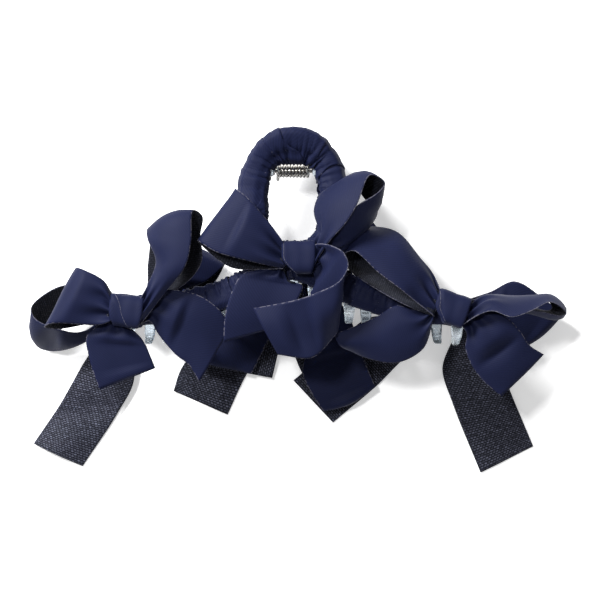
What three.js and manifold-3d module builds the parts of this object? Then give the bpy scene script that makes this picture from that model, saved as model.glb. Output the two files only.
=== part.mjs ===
// A large spring hair claw, lying on its back, wrapped in ribbon and dressed with six tied bows.
//
// Millimetres. +Z points up from the surface that the clip lies on, +Y from the teeth to the thumb ring,
// and +X runs along the hinge pin. The two jaws are mirror images across a level middle plane: the front
// jaw is the upper one, and the back jaw lies underneath it.
//
// The jaws, pin and spring are the working clip. Every ribbon piece is a plain closed solid of the right
// size in the right place, a little thicker than real ribbon.

import * as THREE from 'three';
import { mergeVertices } from 'three/addons/utils/BufferGeometryUtils.js';
import Module from 'manifold-3d';

const wasm = await Module();
wasm.setup();

// ---- Driving dimensions ----

const GAP = 0.3;                  // left between pieces that touch
const FINEST = 0.02;              // the shortest edge worth keeping
const MIDDLE_Z = 29;              // height of the plane between the jaws
const HINGE_Y = 47.9;             // the pin's place along Y
const CLIP_X = -2.5;              // the jaws' plane of symmetry
const ORIGIN_SHIFT = { x: 1.45, y: 1.2, z: 0 };  // puts the origin under the middle of the whole

const HINGE_RISE = 8.6;           // the thumb ring's height above the middle plane at the pin
const BASE_RISE = 17;             // and where the ring meets the arms
const BASE_REACH = 32;            // how far below the pin that is
const LEVER_RISE = 5.5;           // how much the ring flares again by LEVER_REACH above the pin
const LEVER_REACH = 15;

const HOLE = { halfWidth: 9, halfHeight: 14, centre: 12, corner: 0.6 };
const RING = { halfWidth: 19.7, halfHeight: 26.2, centre: 10.9, corner: 1 };
const RING_CORE = 0.56;           // the plastic's share of the wrapped ring's width

const PLASTIC = 3.2;              // thickness of the jaws' plastic
const RING_WRAP_THICKNESS = 7.6;
const ARM_CORE_WIDTH = 8;
const ARM_WRAP_WIDTH = 11.6;
const ARM_WRAP_THICKNESS = 6.8;
const ARM_END = 63.4;             // half the jaw's length
// The right arm's centreline: across from the plane of symmetry, below the pin, above the middle plane.
const ARM_LINE = [[0, 35, 17], [10, 38.5, 17], [22, 44.5, 16.5], [36, 49, 15.5], [48, 51, 14.5],
  [ARM_END, 52, 13.4]];

const TOOTH_PITCH = 13.2;
const TOOTH = { root: 5, tip: 3, thickRoot: 3.2, thickTip: 1.8, reach: 12, past: 1.2 };
const FRONT_TEETH = [0.56, 1.56, 2.56, 3.56, 4.56];  // in pitches from the plane of symmetry, both sides
const BACK_TEETH = [0, 1.06, 2.06, 3.06, 4.06];

const PIN = { radius: 0.8, half: 12.6, headRadius: 1.3, head: 0.8 };
const LUG = { width: 2, front: 7.1, back: 9.5, radius: 2.4 };
const COIL = { turns: 9, wire: 1.25, radius: 2.0, pitch: 1.27, leg: 6.5 };

const RIBBON_SOLID = 0.8;         // thickness of the ribbon solids
const KNOT_HOLE = { width: 9.4, height: 4.2, corner: 0.8 };
// How the gathered ribbons share the hole in a knot: beside each other, or one over the other.
const BESIDE = {
  loops: { y: 2.2, z: 0, width: 3.9, thickness: 3.2 },
  tails: { y: -2.2, z: 0, width: 3.9, thickness: 3.2 },
};
const STACKED = {
  loops: { y: 0, z: 0.75, width: 8.4, thickness: 1.9 },
  tails: { y: 0, z: -1.2, width: 8.4, thickness: 1 },
};
const KNOT = { length: 12.6, width: 12, height: 7.5, corner: 2.6 };

// ---- Ribbon routes ----
// Each ribbon runs through cross-lines from one edge to the other, [left edge, right edge] or
// [upper edge, lower edge], in order outwards from the knot. A loop comes back to the knot.

const BOWS = {
  front_left: {
    knot: { at: [-63.5, -4, 50.8], turn: -6, lanes: BESIDE },
    loops: [
      [-1, [[[-71.5, 7, 54], [-73.5, -9, 51]], [[-80, 11.5, 53], [-91, -8.5, 52]],
        [[-82, 11.5, 48], [-93.5, -10, 47]], [[-77.5, 8.5, 44.5], [-87.5, -10.5, 43.5]],
        [[-70.5, 6, 46], [-73.5, -8, 45]]]],
      [1, [[[-55.5, 5.5, 53], [-48, 4, 56]], [[-52.5, 14, 54], [-41.5, 12.5, 60]],
        [[-55.5, 22, 53], [-39.5, 21.5, 60]], [[-56, 25.5, 50], [-39, 32.5, 57]],
        [[-54.5, 27, 44], [-35.5, 30.5, 51]], [[-55, 22, 41], [-36.5, 23.5, 44]],
        [[-56, 12, 42], [-36, 14, 44.5]], [[-56, 5, 46.5], [-43, 5, 47]]]],
    ],
    tails: [
      [-1, [[[-73.5, -9, 47.5], [-60, -12, 46.5]], [[-78, -13, 47.5], [-57, -15.5, 46.5]],
        [[-77, -22, 46.5], [-55, -20, 45.5]], [[-73.5, -33, 45], [-53, -25, 44]]]],
      [1, [[[-51, 3.5, 50], [-55, -7.5, 48]], [[-44.5, 3.5, 50.5], [-51.5, -13, 47.5]],
        [[-36.5, 1.5, 51], [-45.5, -20, 47]], [[-29.5, -3.5, 49.5], [-40.5, -24, 46]],
        [[-25, -10, 46.5], [-37, -30, 45]]]],
    ],
  },
  front_centre: {
    knot: { at: [-0.5, 15.6, 54], turn: 0, lanes: BESIDE },
    loops: [
      [-1, [[[-11.5, 28.5, 58], [-16, 13.5, 58]], [[-19.5, 37.5, 58], [-30.5, 17.5, 59]],
        [[-23.5, 40.5, 55], [-37, 21.5, 56.5]], [[-23, 40, 51], [-37, 21, 52.5]],
        [[-17.5, 34.5, 50], [-25.5, 12, 50.5]], [[-11, 25.5, 51], [-14, 11, 51]]]],
      [1, [[[11, 21.5, 60], [6.5, 25, 52]], [[16.5, 28, 62], [5, 33, 49.5]],
        [[20.5, 34.5, 62.5], [8, 39.5, 47]], [[25.5, 45.5, 60], [18.5, 44, 44.5]],
        [[31, 42.5, 59], [23.5, 37.5, 44.5]], [[29.8, 38, 59], [27, 34, 44]],
        [[21.5, 33.5, 61], [29.5, 32, 45]], [[16.5, 28, 60.5], [24, 24, 47]],
        [[14.5, 23, 57], [17, 18, 52]]]],
    ],
    tails: [
      [-1, [[[-13, 12, 51.3], [-6.5, 7, 51.3]], [[-22, 9.5, 51.5], [-2, 4.5, 51.5]],
        [[-26.5, 1.5, 51.5], [-2, -0.5, 51.5]], [[-27.5, -6.5, 50.5], [-3, -5, 50.5]],
        [[-28, -15.5, 48], [-3.5, -9, 48]]]],
      [1, [[[9.5, 20.5, 60], [9.5, 11, 52.5]], [[15.5, 17.5, 64], [16.5, 8.5, 51.5]],
        [[17.5, 12.5, 65], [18, 3, 51]], [[14.5, 7, 64], [15.5, -6, 51]],
        [[7, 3, 61], [11.5, -14.5, 51.5]], [[-1.5, 0, 58], [4.5, -21, 52.5]],
        [[-17, -3, 55.5], [-8, -20, 53.5]]]],
    ],
  },
  front_right: {
    knot: { at: [55.2, -3.2, 50.9], turn: -18, lanes: BESIDE },
    loops: [
      [-1, [[[48, 8.5, 53], [42, -0.5, 54]], [[44, 15.5, 52], [36.5, 4, 57.5]],
        [[35.5, 25, 50], [28.5, 10, 57]], [[22, 21, 45], [19.5, 18, 50]],
        [[17, 18.5, 42], [16.5, 15.5, 45]], [[20.5, 16.5, 40.5], [18.5, 10.5, 43.5]],
        [[32.5, 14, 42], [26, 4.5, 49.5]], [[42, 7.5, 46], [37, -2, 50]]]],
      [1, [[[68, 1, 53], [69.5, -4, 56]], [[76.5, 1, 53], [77, -6, 58]],
        [[85.5, 1, 51], [84.5, -3.5, 57]], [[91.5, 0, 48], [91, -0.5, 56]],
        [[97.5, -3, 44.5], [97, -5, 52]], [[92.5, -1, 41], [95, -6, 47]],
        [[81, -1.5, 41], [82.5, -6.5, 46]], [[69, 0, 46], [70, -5, 47.5]]]],
    ],
    tails: [
      [-1, [[[43, -3.5, 50], [48, -11, 48]], [[35, -2, 51], [45, -18, 47.5]],
        [[28, -6, 49.5], [35.5, -23, 46]], [[19, -10, 48.5], [23.5, -21, 45.5]],
        [[12.5, -12.5, 47.5], [18, -18.5, 44]]]],
      [1, [[[61, -12.5, 48], [67.5, -3, 50]], [[60.5, -17.5, 47], [75, -6, 51]],
        [[63, -24, 45.5], [80.5, -11.5, 49.5]], [[67, -29.5, 44], [84, -16.5, 47]],
        [[74, -35.5, 42.5], [89.5, -20, 44]]]],
    ],
  },
  back_left: {
    knot: { at: [-63.5, -4, 7.3], turn: -6, lanes: BESIDE },
    loops: [
      [-1, [[[-78, 4, 17], [-79, 0.5, 4.4]], [[-88.5, 3.5, 23.5], [-89.5, -1.5, 3.5]],
        [[-96, -0.5, 24], [-98.5, -7, 4]], [[-99, -4.5, 24], [-102, -11.5, 4]],
        [[-97, -7, 24], [-100.5, -16.5, 4]], [[-90, -11, 23.5], [-93.5, -19.5, 3.5]],
        [[-80.5, -11.5, 15], [-82, -15.5, 5.2]]]],
      [1, [[[-57.5, 6, 12.5], [-46.5, 2, 9]], [[-56, 16, 15], [-38, 9, 8]],
        [[-52.5, 22.5, 13], [-35, 15, 7]], [[-51.5, 23.5, 7.5], [-34.5, 16, 4.5]],
        [[-56, 14.5, 5.5], [-38, 7.5, 4]], [[-56, 4.5, 7], [-47, 0.5, 6]]]],
    ],
    tails: [
      [-1, [[[-74, -12, 4], [-64, -17, 4]], [[-82, -24, 2.5], [-63, -30.5, 2]],
        [[-91, -39.5, 1.3], [-69, -42.5, 1.3]], [[-101, -54.5, 0.5], [-82.5, -63, 0.5]]]],
      [1, [[[-51, 1, 5], [-51, -12, 4.5]], [[-38, -1, 3.6], [-41, -23, 3.4]],
        [[-22.5, -4.5, 3.2], [-26.5, -26.5, 3]], [[-5.5, -8.5, 3.2], [-10.5, -29.5, 3]]]],
    ],
  },
  back_centre: {
    knot: { at: [-1, 15.5, 3.75], turn: 0, lanes: STACKED },
    loops: [
      [-1, [[[-14.5, 6.5, 6.2], [-6, 1, 6.2]], [[-26.5, -2.5, 7.5], [-8.5, -7, 7.5]],
        [[-36.5, -17, 10.5], [-14, -19, 10.5]], [[-40.5, -22.5, 8.5], [-18.5, -28, 8.5]],
        [[-40, -21, 6], [-18, -27, 6]], [[-26.5, -3, 5.4], [-8.5, -8.5, 5.4]],
        [[-14.5, 5.5, 4.6], [-6, 0.5, 4.6]]]],
      [1, [[[1, 3, 6.2], [11, 5.5, 6.2]], [[7, -10, 7.5], [19, -7, 7.5]],
        [[1, -26.5, 10.5], [23, -20, 10.5]], [[9, -42, 8], [28.5, -33, 8]],
        [[8.5, -40.5, 5.5], [27.5, -31.5, 5.5]], [[6, -11.5, 5.2], [19, -7.5, 5.2]],
        [[1, 2, 4.6], [11, 4, 4.6]]]],
    ],
    tails: [
      [-1, [[[-15, 4, 1.7], [-5, -3, 1.7]], [[-32.5, -11.5, 1.4], [-13, -16.5, 1.4]],
        [[-45, -26, 1], [-21, -29.5, 1]], [[-48, -34.5, 0.5], [-27.5, -43.5, 0.5]]]],
      [1, [[[-2.5, 0, 2], [9.5, 4, 2]], [[-4, -11.5, 2.6], [16, -5.5, 2.6]],
        [[0, -26, 3], [18, -14, 3]], [[5, -33, 3.2], [22, -22, 3.2]]]],
    ],
  },
  back_right: {
    knot: { at: [55.2, -3.2, 7.3], turn: -18, lanes: BESIDE },
    loops: [
      [-1, [[[45.5, 10.5, 12], [42.5, -0.5, 9]], [[37.5, 19, 15], [30, 4.5, 8]],
        [[31.5, 24, 13.5], [21, 11.5, 6.5]], [[27, 30, 10], [17.5, 14.5, 5.5]],
        [[29.5, 27, 6.5], [19.5, 12, 4.5]], [[38, 16.5, 5], [32, 3, 4.5]],
        [[46.5, 6, 6.5], [43, -1.5, 6]]]],
      [1, [[[71.5, 3, 12], [69.5, -11, 9]], [[80.5, 7, 15], [76.5, -16.5, 10]],
        [[91, 1, 12.5], [80.5, -19, 9]], [[99, -5.5, 9], [82.5, -19.5, 7]],
        [[98.5, -5, 5.5], [82, -19, 4.4]], [[87, 0, 5], [77.5, -15.5, 4.4]],
        [[72, 1, 6.5], [69.5, -9.5, 6]]]],
    ],
    tails: [
      [-1, [[[43.5, -5, 4.8], [48.5, -14, 4.2]], [[25.5, -7, 2], [39.5, -22, 2]],
        [[13.5, -17, 1.2], [28.5, -33, 1.2]], [[-2.5, -30.5, 0.5], [12.5, -46.5, 0.5]]]],
      [1, [[[58, -14, 4.2], [68, -11, 4.4]], [[54, -26, 3], [74.5, -22, 3]],
        [[58, -39.5, 1.5], [80.5, -36.5, 1.5]], [[68.5, -65.5, 0.5], [88.5, -55.5, 0.5]]]],
    ],
  },
};

// ---- Solids and booleans ----

// Six times the volume inside a closed mesh, negative if its faces point inwards.
function signedVolume(corners, triangles) {
  const corner = (i) => new THREE.Vector3().fromArray(corners, 3 * triangles[i]);
  let total = 0;
  for (let i = 0; i < triangles.length; i += 3) {
    total += corner(i).dot(corner(i + 1).cross(corner(i + 2)));
  }
  return total;
}

function solidOf(geometry) {
  const bare = geometry.clone();
  bare.deleteAttribute('normal');
  bare.deleteAttribute('uv');
  const merged = mergeVertices(bare, 1e-3);
  const vertProperties = new Float32Array(merged.attributes.position.array);
  const triVerts = new Uint32Array(merged.index.array);
  if (signedVolume(vertProperties, triVerts) < 0) {
    triVerts.reverse();
  }
  return new wasm.Manifold(new wasm.Mesh({ numProp: 3, vertProperties, triVerts }));
}

const joined = (solids) => solids.reduce((a, b) => a.add(b));

const largest = (solid) => solid.decompose().sort((a, b) => b.volume() - a.volume())[0];

// Slivers and crumbs that a cut leaves are dropped.
function geometryOf(solid) {
  const { vertProperties, triVerts } = largest(solid.simplify(FINEST)).getMesh();
  const geometry = new THREE.BufferGeometry();
  geometry.setAttribute('position', new THREE.BufferAttribute(vertProperties, 3));
  geometry.setIndex(new THREE.BufferAttribute(triVerts, 1));
  geometry.computeVertexNormals();
  return geometry;
}

// Moves every corner of a closed geometry to where `place` puts it.
function shaped(geometry, place) {
  const corners = geometry.attributes.position;
  const corner = new THREE.Vector3();
  for (let i = 0; i < corners.count; i += 1) {
    const moved = place(corner.fromBufferAttribute(corners, i), i);
    corners.setXYZ(i, moved.x, moved.y, moved.z);
  }
  return geometry;
}

// ---- The jaws' own coordinates: across from the plane of symmetry, below the pin, and out ----

const FRONT = 1;
const BACK = -1;

function inJaw(side, across, below, out) {
  return new THREE.Vector3(CLIP_X + across, HINGE_Y - below, MIDDLE_Z + side * out);
}

// How far the thumb ring stands out from the middle plane.
function ringRise(below) {
  if (below < 0) {
    return HINGE_RISE + LEVER_RISE * (below / LEVER_REACH) ** 2;
  }
  return HINGE_RISE + (BASE_RISE - HINGE_RISE) * THREE.MathUtils.smoothstep(below, 0, BASE_REACH);
}

// A sine or cosine raised to a power below one, which squares off a circle.
function rounded(value, power) {
  return Math.abs(value) < 1e-9 ? 0 : Math.sign(value) * Math.abs(value) ** power;
}

// A point of the ring in plan: `share` is 0 at the hole and 1 at the outer edge.
function ringPoint(angle, share) {
  const [hole, rim] = [HOLE, RING].map(({ halfWidth, halfHeight, centre, corner }) => new THREE.Vector2(
    halfWidth * rounded(Math.cos(angle), corner),
    centre - halfHeight * rounded(Math.sin(angle), corner),
  ));
  return hole.lerp(rim, share);
}

// The band is a torus: `boxy` is 1 for a round section and near 0 for a square one.
function ringBand(side, share, thickness, boxy, radial, steps) {
  const torus = new THREE.TorusGeometry(1, 0.5, radial, steps);
  const turns = torus.attributes.uv;
  return solidOf(shaped(torus, (_, i) => {
    const angle = (turns.getX(i) % 1) * 2 * Math.PI;
    const round = (turns.getY(i) % 1) * 2 * Math.PI;
    const plan = ringPoint(angle, 0.5 + 0.5 * share * rounded(Math.cos(round), boxy));
    const out = ringRise(plan.y) + 0.5 * thickness * rounded(Math.sin(round), boxy);
    return inJaw(side, plan.x, plan.y, out);
  }));
}

const armLine = new THREE.CatmullRomCurve3([
  ...ARM_LINE.slice(1).reverse().map(([x, y, z]) => new THREE.Vector3(-x, y, z)),
  ...ARM_LINE.map(([x, y, z]) => new THREE.Vector3(x, y, z)),
]);

// The arms' bar, from a cylinder with its axis laid along the arms' line.
function armBar(side, from, to, width, thickness, boxy, radial, steps) {
  const corner = Math.SQRT1_2 ** boxy;
  const bar = new THREE.CylinderGeometry(1, 1, 1, radial, steps, false, Math.PI / radial);
  return solidOf(shaped(bar, ({ x, y, z }) => {
    const at = THREE.MathUtils.lerp(from, to, 0.5 + y);
    const middle = armLine.getPoint(at);
    const ahead = armLine.getTangent(at);
    const sideways = new THREE.Vector2(-ahead.y, ahead.x).normalize();
    const wide = 0.5 * width * rounded(x, boxy) / (radial === 4 ? corner : 1);
    const thick = 0.5 * thickness * rounded(z, boxy) / (radial === 4 ? corner : 1);
    return inJaw(side, middle.x - sideways.x * wide, middle.y - sideways.y * wide, middle.z - thick);
  }));
}

function armAt(across) {
  let [low, high] = [0, 1];
  for (let i = 0; i < 30; i += 1) {
    const mid = (low + high) / 2;
    [low, high] = armLine.getPoint(mid).x < across ? [mid, high] : [low, mid];
  }
  return armLine.getPoint(low);
}

function tooth(side, across, grow) {
  const root = armAt(across);
  const bend = new THREE.QuadraticBezierCurve(
    new THREE.Vector2(root.y, root.z),
    new THREE.Vector2(root.y + TOOTH.reach - 2, root.z + 1),
    new THREE.Vector2(root.y + TOOTH.reach, -TOOTH.past),
  );
  const block = new THREE.BoxGeometry(1, 1, 1, 1, 5, 1);
  return solidOf(shaped(block, ({ x, y, z }) => {
    const along = 0.5 - y;
    const middle = bend.getPoint(along);
    const ahead = bend.getTangent(along);
    const wide = THREE.MathUtils.lerp(TOOTH.root, TOOTH.tip, along) + 2 * grow;
    const thick = THREE.MathUtils.lerp(TOOTH.thickRoot, TOOTH.thickTip, along) + 2 * grow;
    return inJaw(side, across + wide * x, middle.x - ahead.y * thick * z, middle.y + ahead.x * thick * z);
  }));
}

// A lug hangs from the ring's inner edge down to the pin, on both sides of the spring.
function lug(side, hand, inner, grow) {
  const outline = new THREE.Shape();
  const radius = LUG.radius + grow;
  outline.absarc(0, 0, radius, Math.PI, 2 * Math.PI, false);
  outline.lineTo(radius, HINGE_RISE);
  outline.lineTo(-radius, HINGE_RISE);
  outline.closePath();
  const plate = new THREE.ExtrudeGeometry(outline, {
    depth: LUG.width + 2 * grow, bevelEnabled: false, curveSegments: 8,
  });
  const start = hand > 0 ? inner - grow : -inner - LUG.width - grow;
  const web = new THREE.BoxGeometry(6 + 2 * grow, 2 * radius, PLASTIC - 0.4 + 2 * grow);
  web.translate(hand * (inner + 3), 0, HINGE_RISE);
  const standing = shaped(plate, ({ x, y, z }) => new THREE.Vector3(start + z, x, y));
  const [hanging, held] = [standing, web].map(
    (g) => solidOf(shaped(g, ({ x, y, z }) => inJaw(side, x, y, z))));
  return hanging.add(held);
}

function jaw(side, grow) {
  const teeth = (side === FRONT ? FRONT_TEETH : BACK_TEETH)
    .flatMap((n) => (n === 0 ? [0] : [-n * TOOTH_PITCH, n * TOOTH_PITCH]));
  const inner = side === FRONT ? LUG.front : LUG.back;
  const ringShare = RING_CORE + 2 * grow / (RING.halfWidth - HOLE.halfWidth);
  const solids = [
    ringBand(side, ringShare, PLASTIC + 2 * grow, 0.35, 8, 30),
    armBar(side, 0, 1, ARM_CORE_WIDTH + 2 * grow, PLASTIC + 2 * grow, 1, 4, 16),
    ...teeth.map((across) => tooth(side, across, grow)),
    lug(side, -1, inner, grow),
    lug(side, 1, inner, grow),
  ];
  const bore = new THREE.CylinderGeometry(PIN.radius + GAP, PIN.radius + GAP, 60, 12);
  bore.rotateZ(Math.PI / 2);
  bore.translate(CLIP_X, HINGE_Y, MIDDLE_Z);
  return grow > 0 ? joined(solids) : joined(solids).subtract(solidOf(bore));
}

// ---- The wraps: ribbon wound round the ring and the arms, hollow where the plastic runs ----

function wrapped(side, grow) {
  const ringShare = 1 + 2 * grow / (RING.halfWidth - HOLE.halfWidth);
  return ringBand(side, ringShare, RING_WRAP_THICKNESS + 2 * grow, 0.8, 8, 28)
    .add(armBar(side, 0.003, 0.997, ARM_WRAP_WIDTH + 2 * grow, ARM_WRAP_THICKNESS + 2 * grow, 0.75, 8, 16));
}

function wraps(side) {
  const around = wrapped(side, 0).subtract(jaw(side, GAP));
  const split = BASE_REACH - 2;
  const half = (low, high, top, bottom) => {
    const block = new THREE.BoxGeometry(high - low, bottom - top, 60);
    block.translate(CLIP_X + (low + high) / 2, HINGE_Y - (top + bottom) / 2, MIDDLE_Z + side * 31);
    return largest(around.intersect(solidOf(block)));
  };
  return {
    ring: half(-30, 30, -30, split),
    left_arm: half(-80, -GAP / 2, split + GAP, 80),
    right_arm: half(GAP / 2, 80, split + GAP, 80),
  };
}

// ---- The hinge: a pin with two heads, and a spring of close coils with two legs ----

function hingePin() {
  const { radius, half, headRadius, head } = PIN;
  const profile = [[0, -half - head], [headRadius, -half - head], [headRadius, -half], [radius, -half],
    [radius, half], [headRadius, half], [headRadius, half + head], [0, half + head]];
  const pin = new THREE.LatheGeometry(profile.map(([r, y]) => new THREE.Vector2(r, y)), 12);
  pin.rotateZ(-Math.PI / 2);
  pin.translate(CLIP_X, HINGE_Y, MIDDLE_Z);
  return pin;
}

class SpringLine extends THREE.Curve {
  getPoint(t) {
    const turned = COIL.turns * 2 * Math.PI;
    const length = turned * COIL.radius;
    const whole = length + 2 * COIL.leg;
    const along = t * whole - COIL.leg;
    const angle = THREE.MathUtils.clamp(along / COIL.radius, 0, turned);
    const over = along - angle * COIL.radius;
    const x = (angle / turned - 0.5) * COIL.turns * COIL.pitch;
    const start = -0.25 * Math.PI;
    const at = start + angle;
    return new THREE.Vector3(
      CLIP_X + x,
      HINGE_Y + COIL.radius * Math.cos(at) - over * Math.sin(at),
      MIDDLE_Z + COIL.radius * Math.sin(at) + over * Math.cos(at),
    );
  }
}

function spring() {
  const section = new THREE.Shape();
  section.absarc(0, 0, COIL.wire / 2 - 0.02, 0, 2 * Math.PI, false);
  return new THREE.ExtrudeGeometry(section, {
    extrudePath: new SpringLine(), steps: 104, curveSegments: 3, bevelEnabled: false,
  });
}

// ---- Bows ----

function knotFrame({ at, turn }) {
  return new THREE.Matrix4().makeRotationZ(THREE.MathUtils.degToRad(turn)).setPosition(...at);
}

function roundedBox(width, height, corner, path = new THREE.Shape()) {
  const [x, y] = [width / 2, height / 2];
  path.moveTo(x, -y + corner);
  path.absarc(x - corner, y - corner, corner, 0, 0.5 * Math.PI, false);
  path.absarc(-x + corner, y - corner, corner, 0.5 * Math.PI, Math.PI, false);
  path.absarc(-x + corner, -y + corner, corner, Math.PI, 1.5 * Math.PI, false);
  path.absarc(x - corner, -y + corner, corner, 1.5 * Math.PI, 2 * Math.PI, false);
  path.closePath();
  return path;
}

// The band of ribbon round a bow's middle, open at both ends along the bow.
function knotBand(knot, grow, open) {
  const outline = roundedBox(KNOT.width + 2 * grow, KNOT.height + 2 * grow, KNOT.corner);
  if (open) {
    outline.holes.push(roundedBox(KNOT_HOLE.width, KNOT_HOLE.height, KNOT_HOLE.corner, new THREE.Path()));
  }
  const depth = KNOT.length + 2 * grow;
  const band = new THREE.ExtrudeGeometry(outline, { depth, bevelEnabled: false, curveSegments: 3 });
  band.translate(0, 0, -depth / 2);
  band.applyMatrix4(new THREE.Matrix4().makeBasis(
    new THREE.Vector3(0, 1, 0), new THREE.Vector3(0, 0, 1), new THREE.Vector3(1, 0, 0)));
  return band.applyMatrix4(knotFrame(knot));
}

// The gathered ribbon inside the knot.
function waist(knot, { y, z, width, thickness }, grow) {
  const bar = new THREE.BoxGeometry(KNOT.length + 3.4 + 2 * grow, width + 2 * grow, thickness + 2 * grow);
  bar.translate(0, y, z);
  return bar.applyMatrix4(knotFrame(knot));
}

// Where a ribbon leaves the knot: a narrow cross-line, its edges in the same order as the next one's.
function knotExit(knot, hand, { y, z, width }, layer, next) {
  const frame = knotFrame(knot);
  const ends = [-1, 1].map((edge) => new THREE.Vector3(
    hand * (KNOT.length / 2 + 1), y + edge * (width / 2 - 0.2), z + layer).applyMatrix4(frame));
  const outward = new THREE.Vector3(...next[1]).sub(new THREE.Vector3(...next[0]));
  const same = ends[1].clone().sub(ends[0]).dot(outward) > 0;
  return (same ? ends : ends.reverse()).map((point) => point.toArray());
}

function ribbon(stations, steps, grow) {
  const [left, right] = [0, 1].map((edge) => new THREE.CatmullRomCurve3(
    stations.map((station) => new THREE.Vector3(...station[edge]))));
  const middle = (t) => left.getPoint(t).lerp(right.getPoint(t), 0.5);
  const slab = new THREE.BoxGeometry(1, 1, 1, steps, 1, 1);
  return shaped(slab, ({ x, y, z }) => {
    const t = 0.5 + x;
    const ahead = middle(Math.min(t + 0.01, 1)).sub(middle(Math.max(t - 0.01, 0)));
    const edges = [left.getPoint(t), right.getPoint(t)];
    const across = edges[1].clone().sub(edges[0]);
    const normal = ahead.clone().cross(across).normalize();
    return edges[0].lerp(edges[1], 0.5 + y)
      .addScaledVector(normal, z * (RIBBON_SOLID + 2 * grow))
      .addScaledVector(across.normalize(), 2 * y * grow)
      .addScaledVector(ahead.normalize(), 2 * x * grow * (Math.abs(x) === 0.5 ? 1 : 0));
  });
}

function bowPart(knot, lane, routes, grow) {
  const ribbons = routes.map((route) => solidOf(ribbon(route, 2 * (route.length - 1), grow)));
  return joined(ribbons)
    .subtract(solidOf(knotBand(knot, GAP, false)))
    .add(solidOf(waist(knot, lane, grow)));
}

function bowLoops({ knot, loops }, grow) {
  const lane = knot.lanes.loops;
  const layer = (lane.thickness - RIBBON_SOLID) / 2;
  const routes = loops.map(([hand, stations]) => [
    knotExit(knot, hand, lane, layer, stations[0]),
    ...stations,
    knotExit(knot, hand, lane, -layer, stations[stations.length - 1]),
  ]);
  return bowPart(knot, lane, routes, grow);
}

function bowTails({ knot, tails }, grow) {
  const lane = knot.lanes.tails;
  const routes = tails.map(([hand, stations]) => [knotExit(knot, hand, lane, 0, stations[0]), ...stations]);
  return bowPart(knot, lane, routes, grow);
}

// ---- Colours ----

const CLEAR = new THREE.MeshStandardMaterial({ color: 0xb9cbdc, roughness: 0.08, transparent: true,
  opacity: 0.45 });
const STEEL = new THREE.MeshStandardMaterial({ color: 0xc9c6bf, roughness: 0.25, metalness: 1 });
const NAVY = new THREE.MeshStandardMaterial({ color: 0x2b3050, roughness: 0.75 });

// ---- Assembly ----

const clip = new THREE.Group();
clip.position.copy(ORIGIN_SHIFT);

function addPiece(name, geometry, material) {
  const piece = new THREE.Mesh(geometry, material);
  piece.name = name;
  clip.add(piece);
}

addPiece('front_jaw', geometryOf(jaw(FRONT, 0)), CLEAR);
addPiece('back_jaw', geometryOf(jaw(BACK, 0)), CLEAR);
addPiece('hinge_pin', hingePin(), STEEL);
addPiece('torsion_spring', spring(), STEEL);

for (const [name, side] of [['front', FRONT], ['back', BACK]]) {
  for (const [part, solid] of Object.entries(wraps(side))) {
    addPiece(`${name}_${part}_wrap`, geometryOf(solid), NAVY);
  }
}

// Loops and tails are cut back from whatever is already in their way.
const placed = [wrapped(FRONT, GAP), wrapped(BACK, GAP)];
for (const [name, bow] of Object.entries(BOWS)) {
  addPiece(`${name}_knot`, knotBand(bow.knot, 0, true), NAVY);
  const otherKnots = Object.values(BOWS).filter((other) => other !== bow)
    .map((other) => solidOf(knotBand(other.knot, GAP, false)));
  for (const [part, build] of [['tails', bowTails], ['loops', bowLoops]]) {
    const own = [...otherKnots, ...placed].reduce((solid, other) => solid.subtract(other), build(bow, 0));
    addPiece(`${name}_${part}`, geometryOf(own), NAVY);
    placed.push(build(bow, GAP));
  }
}

export default clip;
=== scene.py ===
# %% [markdown]
# # A claw clip dressed in ribbon
#
# The clip is a big spring claw of clear plastic. Its thumb ring and arms are bound in navy ribbon, and six
# bows are tied to it, three on each jaw. The measured model comes first, as a fixed frame, and every piece
# below is placed from its boxes.

# %% Load the frame
import math

import bmesh
import bpy
from mathutils import Matrix, Vector, noise
from mathutils.bvhtree import BVHTree


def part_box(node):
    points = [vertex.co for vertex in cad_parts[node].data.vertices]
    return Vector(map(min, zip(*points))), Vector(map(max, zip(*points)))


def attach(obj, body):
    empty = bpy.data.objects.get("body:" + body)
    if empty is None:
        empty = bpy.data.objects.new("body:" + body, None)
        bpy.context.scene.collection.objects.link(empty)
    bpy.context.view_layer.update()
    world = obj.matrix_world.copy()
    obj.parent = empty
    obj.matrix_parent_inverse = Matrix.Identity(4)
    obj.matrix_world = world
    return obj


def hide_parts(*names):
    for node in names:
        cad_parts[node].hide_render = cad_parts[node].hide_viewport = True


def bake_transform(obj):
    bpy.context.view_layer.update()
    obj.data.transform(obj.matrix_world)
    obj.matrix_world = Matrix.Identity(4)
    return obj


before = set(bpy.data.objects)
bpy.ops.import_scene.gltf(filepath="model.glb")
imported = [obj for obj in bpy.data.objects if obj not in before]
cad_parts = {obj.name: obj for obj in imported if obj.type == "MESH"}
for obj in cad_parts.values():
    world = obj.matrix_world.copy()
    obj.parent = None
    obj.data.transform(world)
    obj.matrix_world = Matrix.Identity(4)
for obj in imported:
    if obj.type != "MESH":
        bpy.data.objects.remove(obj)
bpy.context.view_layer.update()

MM = 0.001
scene = bpy.context.scene


def middle_of(node):
    low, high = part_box(node)
    return (low + high) / 2


# %% [markdown]
# ## Camera, floor and light
#
# The clip is laid on a white table and seen from straight above through a long lens, so that the tall loops
# hardly grow. A strong soft lamp stands at the upper left and a weaker one nearly overhead. The sky is faint,
# so that the dark cloth keeps its shading, and the table glows a little, so that it stays white without it.

# %% Camera
EYE = Vector((1.45 * MM, 1.2 * MM, 1300 * MM))
SEEN_WIDTH = 227.8 * MM

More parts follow.
